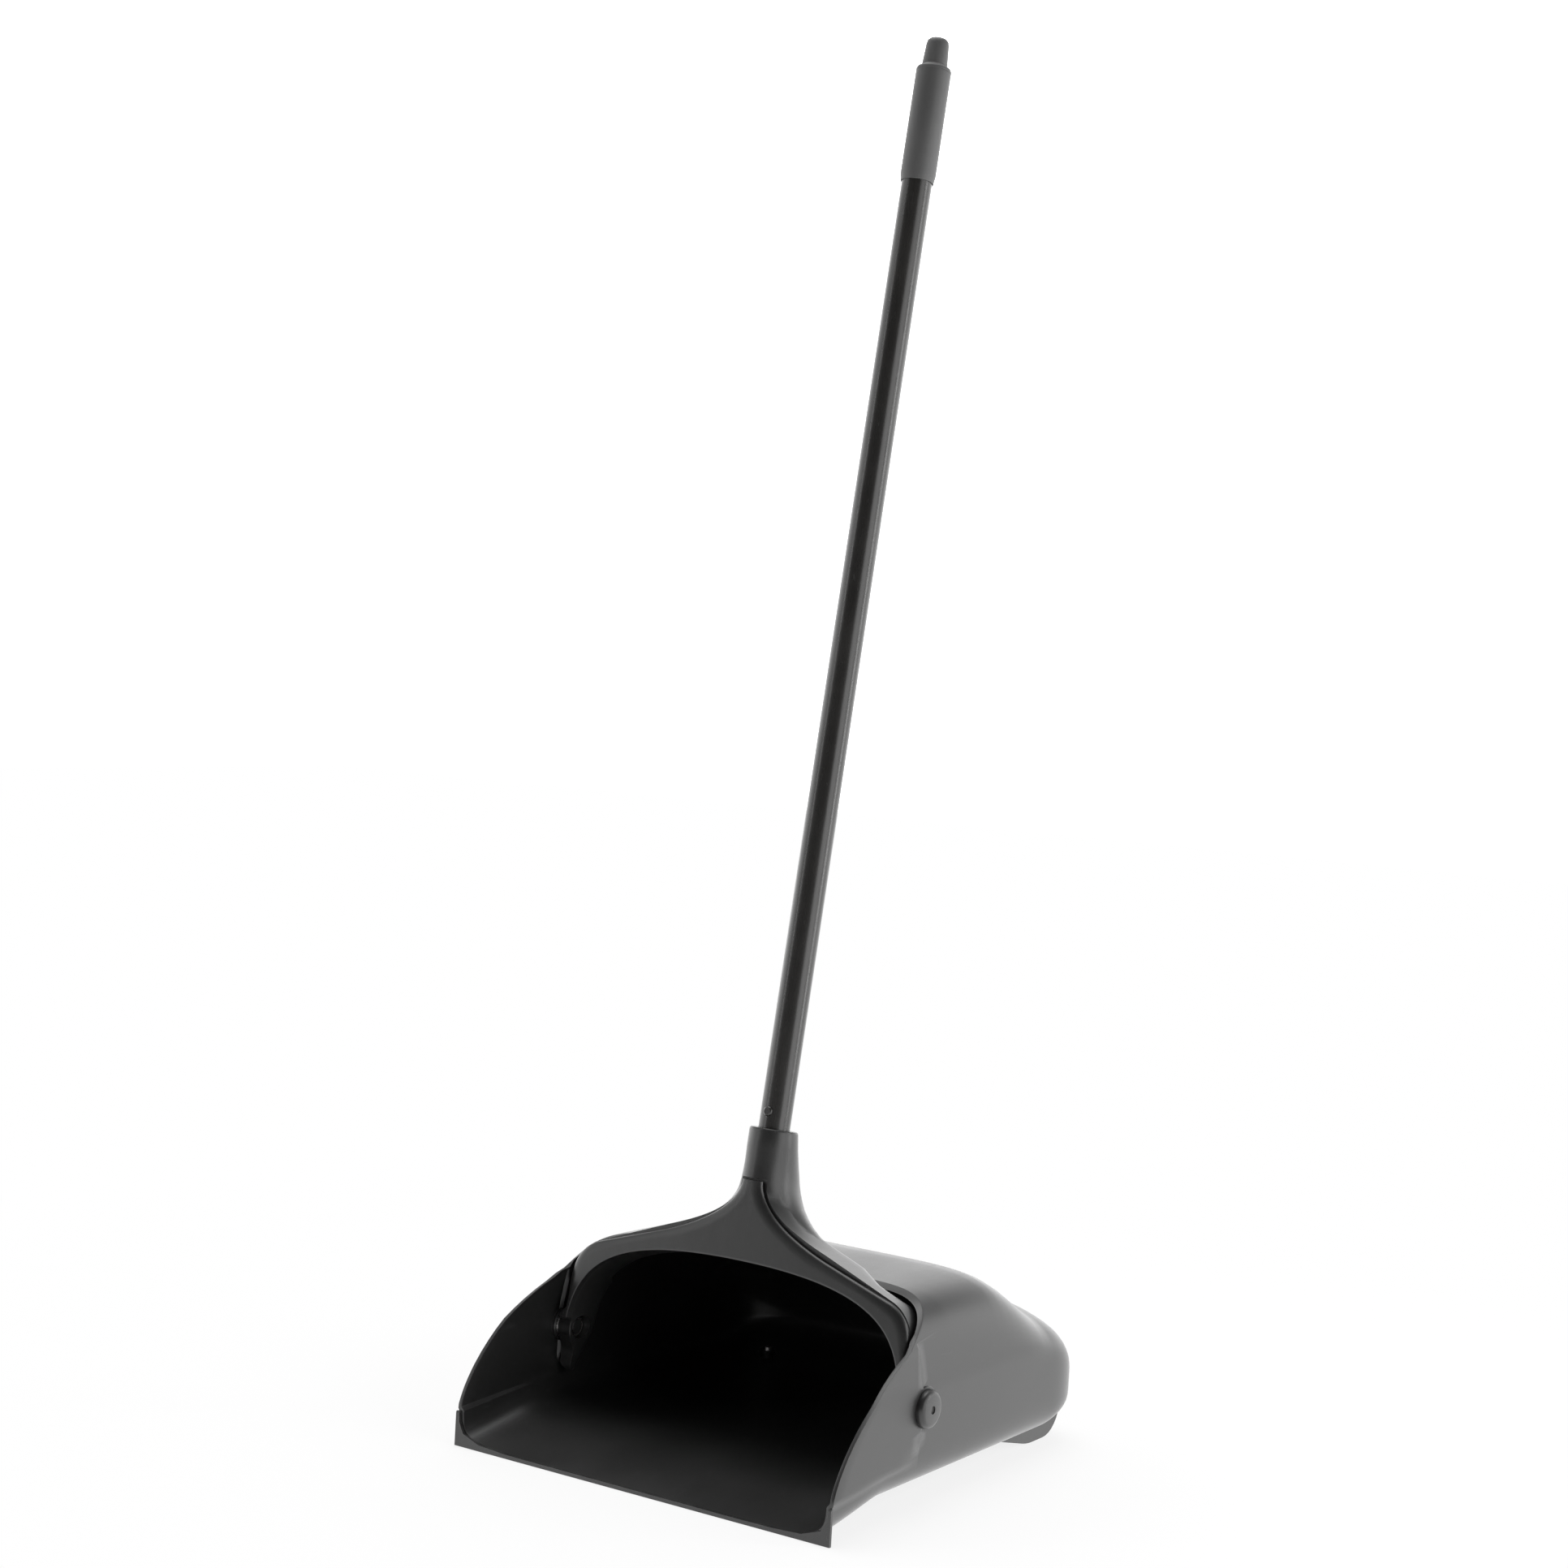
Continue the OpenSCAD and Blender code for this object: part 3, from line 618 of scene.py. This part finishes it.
def corner(before, at, after, radius, steps):
    """The arc that rounds a corner of an outline."""
    p = Vector(at)
    u, v = (Vector(before) - p).normalized(), (Vector(after) - p).normalized()
    half = u.angle(v) / 2
    centre = p + (u + v).normalized() * radius / math.sin(half)
    first, last = p + u * radius / math.tan(half) - centre, p + v * radius / math.tan(half) - centre
    points = []
    for i in range(steps + 1):
        way = first.lerp(last, i / steps).normalized() * radius
        points.append(tuple(centre + way))
    return points


# Steps of the outline's upper stretches, and the place of the last point of each
BELL_STEPS, SLOPE_STEPS, BEND_STEPS = 18, 8, 14
BELL_END = BELL_STEPS + 1
SLOPE_END = BELL_END + SLOPE_STEPS - 1
BEND_END = SLOPE_END + BEND_STEPS + 1


def outer_path(neck, drop):
    """Half outline of the yoke from the neck to the tail of the arm."""
    high = SHOULDER[1] - drop
    led = (1.1 * neck, BELL_H - 19), (0.61 * SHOULDER[0], high + 8.3)
    bell = [curve((neck, BELL_H), *led, (SHOULDER[0], high), i / BELL_STEPS) for i in range(BELL_END)]
    bend = corner((SHOULDER[0], high), (ARM_X, ARCH_H - 12), (ARM_X, 0), BEND_R, BEND_STEPS)
    slope_ends = Vector(bell[-1]), Vector(bend[0])
    slope = [tuple(slope_ends[0].lerp(slope_ends[1], i / SLOPE_STEPS)) for i in range(1, SLOPE_STEPS)]
    arm = [(ARM_X, between(bend[-1][1], FLARE_TOP, i / 6)) for i in range(1, 7)]
    flare = corner((ARM_X, FLARE_TOP), (HUB_X, FLARE_LOW), (HUB_X, 0), FLARE_R, 4)
    hub = [(HUB_X, between(flare[-1][1], -ARM_TAIL + TAIL_R, i / 12)) for i in range(1, 12)]
    tail = corner((HUB_X, 0), (HUB_X, -ARM_TAIL), (0, -ARM_TAIL), TAIL_R, 6)
    return [(0.0, BELL_H)] + bell + slope + bend + arm + flare + hub + tail


# Half width of the arch's opening at the knees, and the lead of its curve, at the face and at the pivot
KNEE_FRONT, KNEE_BACK = 129.0, 124.5
SPREAD_FRONT, SPREAD_BACK = 92.16, 83.52


def inner_point(place, z, depth, start=0.07):
    """A point of the arch's opening, for a place along the outline, at a depth in the yoke."""
    dish = clamp((depth - FACE_FRONT) / -FACE_FRONT)
    knee = between(KNEE_FRONT, KNEE_BACK, dish)
    spread = between(SPREAD_FRONT, SPREAD_BACK, dish)
    opening = (0, ARCH_H), (spread, ARCH_H), (knee, 0.74 * ARCH_H), (knee, 0)
    steps = ((0, 0.0), (1, start), (BELL_END, 0.27), (SLOPE_END, 0.52), (BEND_END, 0.70))
    if place <= BEND_END:
        return curve(*opening, read_off(steps, place))
    if z < 0:
        return between(knee, HALF_W - 13, -z / (ARM_TAIL + 12)), z
    low, high = 0.5, 1.0
    for again in range(30):
        t = (low + high) / 2
        low, high = (t, high) if curve(*opening, t)[1] > z else (low, t)
    return curve(*opening, low)[0], z


# Front and back of the arms below the pivot, by height
ARM_FRONT = [
    (-29, 0.6), (-28, -0.8), (-25.5, -1.5), (-19, -1.8), (-15, -2.5), (-12, -4.3), (-9, -6.4), (-6, -7.8),
    (-2, BODY_FRONT)
]
ARM_BACK = [
    (-29, 4.4), (-27.5, 5.9), (-24, 7.1), (-15, 9.3), (-8, 10.9), (-3, 12.8), (4, 14.2), (20, BODY_BACK)
]
# Where the hood's front edge stands behind the shoulders, by height
HOOD_LIMIT = [(57.9, 5.4), (62.1, 10.6), (65.0, 15.2), (70.1, BELL_BACK)]
SHOULDER_LOW = 62.0
SHOULDER_BACK = 10.5
# Most that the back's rounding may take: its depth, its draw inwards and its lift into the opening
BACK_ROLL, BACK_DRAW, BACK_LIFT = 9.0, 5.0, 2.0
# Radius of the round neck, and most that the plate's flank, inner lip and flat borders may take
NECK_R = 16.2
PLATE_ROLL, PLATE_LIP, PLATE_FLAT = 7.0, 0.9, 0.8


def both_halves(right):
    """Rings from the left tail over the bell to the right tail."""
    left = [[(-x, y, z) for x, y, z in points] for points in right[:0:-1]]
    return left + right


def neck_at(depth):
    """Half width of the round neck at a depth in the yoke."""
    return math.sqrt(max(9.0, NECK_R ** 2 - (depth - HANDLE_BACK) ** 2))


def inward_at(path, place):
    """The direction square to an outline at one of its points, to the inside of the yoke."""
    if place < 2:
        return Vector((-place, place - 1.0))
    along = Vector(path[min(place + 1, len(path) - 1)]) - Vector(path[place - 1])
    return Vector((along.y, -along.x)).normalized()


def body_rings():
    """Sections of the yoke's body along its outline."""
    rings = []
    outline = outer_path(neck_at(0.0), 0.0)
    for place, face in enumerate(outer_path(FACE_NECK, GROOVE_DEPTH)):
        rear = outline[place]
        z = rear[1]
        arm = place > BEND_END
        low = read_off(ARM_FRONT, z) if arm else BODY_FRONT
        high = read_off(ARM_BACK, z) if arm else BODY_BACK
        if not arm:
            limit = clamp(read_off(HOOD_LIMIT, z - 5.0), SHOULDER_BACK, BELL_BACK)
            high = between(limit, high, eased(clamp((SHOULDER_LOW - z) / 6.0)))
        inside = {y: Vector(inner_point(place, z, y)) for y in (LAND_FRONT, low, 0.0)}
        thick = Vector(rear) - inside[0.0]
        inward = inward_at(outline, place)
        seat = LAND_FRONT if z > FACE_LOW else low
        groove = GROOVE_DEPTH * eased(clamp((GROOVE_END + 4 - face[0]) / 8)) if seat < low else 0.0
        land = Vector(face if seat < low else rear) + inward * groove
        depth = min(BACK_ROLL, 0.45 * (high - low))
        draw, lift = min(BACK_DRAW, 0.3 * thick.length), min(BACK_LIFT, 0.2 * thick.length)
        points = [(land, seat), (land, low)]
        for i in range(4):
            y = between(low, high - depth, i / 4)
            points.append((Vector(outer_path(neck_at(y), 0.0)[place]), y))
        for i in range(9):
            turn = math.pi / 2 * i / 8
            y = high - depth + depth * math.sin(turn)
            edge = Vector(outer_path(neck_at(y), 0.0)[place])
            points.append((edge + inward * draw * (1 - math.cos(turn)), y))
        back_in = min(high, 11.0) if not arm else high
        for i in range(5):
            turn = math.pi / 2 * i / 4
            shift = lift * (1 - math.sin(turn))
            points.append((inside[0.0] + thick.normalized() * shift, back_in - 2.5 * (1 - math.cos(turn))))
        points += [(inside[0.0], max(low + 0.2, 0.0)), (inside[low], low)]
        points.append((inside[LAND_FRONT] if seat < low else inside[low], seat))
        rings.append([(p[0], y, p[1]) for p, y in points])
    return both_halves(rings)


def plate_rings():
    """Sections of the front plate along its outline."""
    rings = []
    outline = outer_path(FACE_NECK, GROOVE_DEPTH)
    for place, face in enumerate(outline):
        low_end = face[1] < FACE_LOW
        z = max(face[1], FACE_LOW)
        edge = Vector((face[0], z))
        fore, rear = (Vector(inner_point(place, z, y, 0.004)) for y in (FACE_FRONT, LAND_FRONT))
        across = (fore - edge).normalized()
        inward = inward_at(outline, place)
        width = (fore - edge).length
        roll = min(PLATE_ROLL, 0.45 * width, 0.8 * edge.x)
        lip, flat = min(PLATE_LIP, 0.2 * width), min(PLATE_FLAT, 0.1 * width)
        points = [(edge, LAND_FRONT), (edge, FLANK_FRONT)]
        for i in range(1, 9):
            turn = math.pi / 2 * i / 8
            y = FLANK_FRONT - FLANK_ROLL * math.sin(turn)
            points.append((edge + inward * roll * (1 - math.cos(turn)), y))
        points.append((edge + inward * (roll + flat), FACE_FRONT))
        points += [(fore - across * (lip + flat), FACE_FRONT), (fore - across * lip, FACE_FRONT)]
        points.append((fore - across * 0.3 * lip, FACE_FRONT + 0.2))
        points.append((fore, FACE_FRONT + 0.8))
        points.append((rear, LAND_FRONT))
        rings.append([(p[0], y, p[1]) for p, y in points])
        if low_end:
            break
    return both_halves(rings)


# The socket and its neck, down into the bell: height, half width, set-back, half depth
NECK = [
    (152, 14.6, 0, 14.6), (151.9, 15.2, 0, 15.2), (151.4, 15.7, 0, 15.7), (150.4, 16.0, 0.2, 16.2),
    (140, 16.3, 1.6, 18.0), (130, 16.6, 3.6, 20.0), (124, 17.0, 4.6, 21.4), (118, 17.6, 5.4, 22.6),
    (113, 19.0, 6.0, 23.0), (108, 21.2, 6.6, 23.0), (103, 24.0, 7.0, 23.0), (98, 28.4, 7.2, 22.6),
    (93, 34.0, 7.2, 21.8), (88, 41.5, 7.0, 20.4), (84, 50.0, 6.5, 18.6), (81, 54.0, 6.0, 16.6),
    (76, 55.0, 4.0, 13.5)
]


NECK_SIDES = 96


def neck_rings():
    """Rounds of the socket and its neck, from the top down."""
    turns = [math.tau * k / NECK_SIDES for k in range(NECK_SIDES)]
    return [
        [(wide * math.cos(a), HANDLE_BACK + back + deep * math.sin(a), z) for a in turns]
        for z, wide, back, deep in NECK
    ]


def box(low, high):
    """A box between two corners."""
    bm = bmesh.new()
    bmesh.ops.create_cube(bm, size=1.0)
    size = Vector(high) - Vector(low)
    bmesh.ops.scale(bm, vec=size * MM, verts=bm.verts)
    bmesh.ops.translate(bm, vec=(Vector(low) + size / 2) * MM, verts=bm.verts)
    return bm


def yoke():
    """Arch, bell, socket and hubs, with the recesses for the pins and the screws."""
    body = tidy_skin(drawn(body_rings()))
    socket = tidy_skin(drawn(neck_rings()))
    slit = box((-30, -30, 80), (30, BODY_FRONT, BELL_H + GROOVE_W))
    for skin in (body, socket, slit):
        bmesh.ops.transform(skin, matrix=in_yoke, verts=skin.verts)
    whole = worked(body, worked(socket, slit, "DIFFERENCE"), "UNION")
    hubs = joined([turned(rod(128, HUB_X, HUB_R), place) for place in SIDES.values()])
    whole = worked(whole, hubs, "UNION")
    recess = [(0, 118), (8, 118), (8, ARM_X), (BUSH_R, ARM_X), (BUSH_R, 142), (0, 142)]
    face_hole = [(0, -20), (1.75, -20), (1.75, 5), (4.025, 5), (4.025, 40), (0, 40)]
    mouth = SOCKET_TOP + 0.2
    bore = [(0, SOCKET_FLOOR), (SOCKET_R, SOCKET_FLOOR), (SOCKET_R, 151), (11.3, mouth), (0, mouth)]
    cross_hole = [(0, 12), (2, 12), (2, 16), (4.6, 16), (4.6, 40), (0, 40)]
    cuts = [turned(recess, place) for place in SIDES.values()]
    cuts += [turned(face_hole, raised(in_yoke, x, 0, z, True), 40) for x, z in FACE_SCREWS]
    cuts.append(turned(bore, on_handle))
    cuts.append(turned(cross_hole, raised(on_handle, z=SOCKET_SCREW, to_back=True), 48))
    return worked(whole, joined(cuts), "DIFFERENCE")


def plate():
    """The front plate, in its place on the yoke."""
    face = tidy_skin(drawn(plate_rings()))
    bmesh.ops.transform(face, matrix=in_yoke, verts=face.verts)
    return face


def bin_and_yoke():
    new_piece("bin", bin_shell(), "pan_shell", 0.0)
    from_solid("front_lip", "sweeping_lip", 0.7)
    from_solid("rear_skid", "skid", 3.2)
    new_piece("yoke", yoke(), "yoke_body", 0.4)
    new_piece("yoke_plate", plate(), "yoke_face", 0.3)


def pivot_pieces():
    for side, place in SIDES.items():
        pin = [
            (0, 148.2), (2.5, 148.2), (2.5, 149.2), (8.75, 149.2), (10.1, 148.93), (11.2, 148.2),
            (11.98, 147.05), (12.25, 145.7), (12.25, HALF_W), (PIN_R, HALF_W), (PIN_R, CLIP_X + CLIP_T),
            (CLIP_BORE_R, CLIP_X + CLIP_T), (CLIP_BORE_R, CLIP_X), (PIN_R, CLIP_X), (PIN_R, 129.0),
            (4.6, 128.6), (0, 128.6)
        ]
        washer = ring(WASHER_X, WASHER_T, HUB_R, PIN_BORE_R)
        clip = ring(CLIP_X, CLIP_T, 7, CLIP_BORE_R)
        bearing = ring(ARM_X, 6.0, BUSH_R, PIN_BORE_R)
        new_piece(side + "_pin", turned(pin, place), side + "_pivot_pin", 0.25)
        new_piece(side + "_washer", turned(washer, place), side + "_pin_washer", 0.15)
        new_piece(side + "_clip", turned(clip, place), side + "_pin_clip", 0.15)
        new_piece(side + "_bearing", turned(bearing, place), side + "_bush", 0.15)


def handle_pieces():
    length = GRIP_TOP - TUBE_LOW
    steel = ring(TUBE_LOW, length, TUBE_R, BORE_R)
    jacket = ring(TUBE_LOW, length, JACKET_R, TUBE_R)
    new_piece("tube", turned(steel, on_handle), "handle_tube", 0.1)
    new_piece("jacket", turned(jacket, on_handle, 96), "tube_jacket", 0.15)
    new_piece("plug", turned(rod(TUBE_LOW, SOCKET_TOP, BORE_R), on_handle), "tube_plug", 0.3)
    sleeve = [
        (JACKET_R, GRIP_LOW), (JACKET_R + 0.7, GRIP_LOW), (GRIP_R, GRIP_LOW + 6.0),
        (GRIP_R, GRIP_TOP), (JACKET_R, GRIP_TOP)
    ]
    new_piece("grip", turned(sleeve, on_handle, 96), "handle_grip", 0.5, material=GRIP_RUBBER)
    tip = [
        (0, -20), (BORE_R, -20), (BORE_R, 0), (GRIP_R, 0), (GRIP_R, 1.6), (11.4, 2.7), (10.5, 3.2),
        (8.75, 4.5), (7.75, 19.6), (7.2, 21.9), (5.8, 23.3), (3.6, 23.9), (0, 23.9)
    ]
    tip = turned([(r, GRIP_TOP + h) for r, h in tip], on_handle, 96)
    new_piece("tip", tip, "end_cap", 0.3, material=GRIP_RUBBER)
    rivet = [
        (0, -11.6), (2.4, -11.6), (3.1, -11.1), (3.36, -10.45), (1.6, -10.45), (1.6, -7.4), (0, -7.4)
    ]
    above = raised(on_handle, z=SOCKET_TOP + RIVET_RISE, to_back=True)
    new_piece("rivet", turned(rivet, above, 48), "tube_rivet", 0.1)


def screw(profile, top, size, place):
    """A screw with a six-sided recess in its head."""
    drive = turned(rod(top - 1.2, top + 2, size), place, 6)
    return worked(turned(profile, place, 48), drive, "DIFFERENCE")


def fasteners():
    skid = [(0, 3), (2, 3), (2, BOSS_TOP), (3.75, BOSS_TOP), (3.25, 20.8), (0, 20.8)]
    pair = [screw(skid, 20.8, 1.6, place) for place in SKID_SCREWS]
    new_piece("skid_fasteners", joined(pair), "skid_screws", 0.15)
    face = [(0, -12.3), (1.75, -12.3), (1.75, 5), (3.5, 5), (3.5, 6.7), (3.0, 7.2), (0, 7.2)]
    four = [screw(face, 7.2, 1.5, raised(in_yoke, x, 0, z, True)) for x, z in FACE_SCREWS]
    new_piece("plate_fasteners", joined(four), "face_screws", 0.12)
    cross = [(0, 0), (2, 0), (2, 16), (4, 16), (3.4, 18.4), (0, 18.4)]
    across = screw(cross, 18.4, 1.6, raised(on_handle, z=SOCKET_SCREW, to_back=True))
    new_piece("socket_fastener", across, "socket_screw", 0.15)


def studio_camera(scene):
    yaw, pitch, roll = (math.radians(a) for a in CAMERA_TURN)
    away = Vector((-math.sin(yaw) * math.cos(pitch), math.cos(yaw) * math.cos(pitch), -math.sin(pitch)))
    right = Vector((math.cos(yaw), math.sin(yaw), 0))
    up = right.cross(away)
    tilted_right = right * math.cos(roll) + up * math.sin(roll)
    tilted_up = up * math.cos(roll) - right * math.sin(roll)
    camera = bpy.data.objects.new("camera", bpy.data.cameras.new("camera"))
    camera.data.sensor_width = CAMERA_SENSOR
    camera.data.sensor_fit = "HORIZONTAL"
    camera.data.lens = CAMERA_LENS
    turn = Matrix((tilted_right, tilted_up, -away)).transposed().to_4x4()
    camera.matrix_world = Matrix.Translation(CAMERA_PLACE) @ turn
    scene.collection.objects.link(camera)
    scene.camera = camera


# Name, place, width and height in metres, and power in watts of each lamp
LAMPS = [
    ("left_softbox", (-1.7, -1.3, 1.6), 1.2, 1.2, 4.0),
    ("right_softbox", (2.1, -0.2, 0.8), 1.4, 1.8, 22.0),
    ("top_softbox", (-0.3, 0.3, 2.4), 1.6, 1.6, 30.0),
    ("left_strip", (-1.35, -1.5, 0.8), 0.16, 1.7, 4.5),
    ("right_strip", (1.75, 0.95, 0.8), 0.30, 1.7, 13.0),
]


def studio_lamps(scene):
    for name, spot, wide, tall, power in LAMPS:
        lamp = bpy.data.objects.new(name, bpy.data.lights.new(name, "AREA"))
        lamp.data.shape = "RECTANGLE"
        lamp.data.size = wide
        lamp.data.size_y = tall
        lamp.data.energy = power
        lamp.visible_camera = False
        aim = Vector((0, 0, min(0.5, spot[2]))) - Vector(spot)
        lamp.matrix_world = Matrix.Translation(spot) @ aim.to_track_quat("-Z", "Y").to_matrix().to_4x4()
        scene.collection.objects.link(lamp)


def white_room(scene):
    """A white background, and a room that is dark behind the camera and bright behind the part."""
    world = bpy.data.worlds.new("white_room")
    scene.world = world
    world.use_nodes = True
    paint = Paint(world.node_tree)
    path = paint.node("ShaderNodeLightPath", out="Is Camera Ray")
    way = paint.node("ShaderNodeTexCoord", out="Generated")
    front = paint.node(
        "ShaderNodeVectorMath", {"operation": "DOT_PRODUCT"}, {0: way, 1: (0.54, -0.83, 0.12)}, "Value"
    )
    room = ramp(paint, front * 0.5 + 0.5, (0.0, 2.7), (0.40, 2.4), (0.62, 0.40), (1.0, 0.12))
    height = paint.node("ShaderNodeSeparateXYZ", None, {"Vector": way}, "Z")
    low = ramp(paint, height * 0.5 + 0.5, (0.60, 1.0), (0.74, 0.30))
    seen = paint.sum("MAXIMUM", path, room * low)
    background = world.node_tree.nodes["Background"]
    paint.tree.links.new(seen.socket, background.inputs["Strength"])
    background.inputs["Color"].default_value = (1, 1, 1, 1)


def floor_paper(scene):
    """The pale floor, which keeps the part's shadow near it and fades to white away from it."""
    bm = bmesh.new()
    bmesh.ops.create_grid(bm, x_segments=8, y_segments=8, size=6.0)
    mesh = bpy.data.meshes.new("studio_floor")
    bm.to_mesh(mesh)
    bm.free()
    paper = bpy.data.objects.new("studio_floor", mesh)
    scene.collection.objects.link(paper)
    material, paint, shader = finish("floor_paper", Roughness=0.9)
    shader.inputs["Base Color"].default_value = (0.86, 0.86, 0.86, 1)
    glow = paint.node("ShaderNodeEmission", None, {"Color": (1, 1, 1, 1), "Strength": 1.0})
    path = paint.node("ShaderNodeLightPath", out="Is Camera Ray")
    place = paint.node("ShaderNodeTexCoord", out="Object")
    reach = paint.node("ShaderNodeVectorMath", {"operation": "LENGTH"}, {0: place}, "Value")
    share = ramp(paint, reach * 0.5, (0.12, 0.82), (0.45, 1.0))
    mixed = paint.node(
        "ShaderNodeMixShader", None, {0: path * share, 1: Paint(paint.tree, shader.outputs[0]), 2: glow}
    )
    shine = paint.node("ShaderNodeEmission", None, {"Color": (1, 1, 1, 1), "Strength": 1.9})
    mirrored = paint.node("ShaderNodeLightPath", out="Is Glossy Ray")
    mixed = paint.node("ShaderNodeMixShader", None, {0: mirrored, 1: mixed, 2: shine})
    paint.tree.links.new(mixed.socket, paint.tree.nodes["Material Output"].inputs["Surface"])
    mesh.materials.append(material)


def studio(scene):
    scene.view_settings.view_transform = "Standard"
    studio_camera(scene)
    studio_lamps(scene)
    white_room(scene)
    floor_paper(scene)


bin_and_yoke()
pivot_pieces()
handle_pieces()
fasteners()
studio(bpy.context.scene)
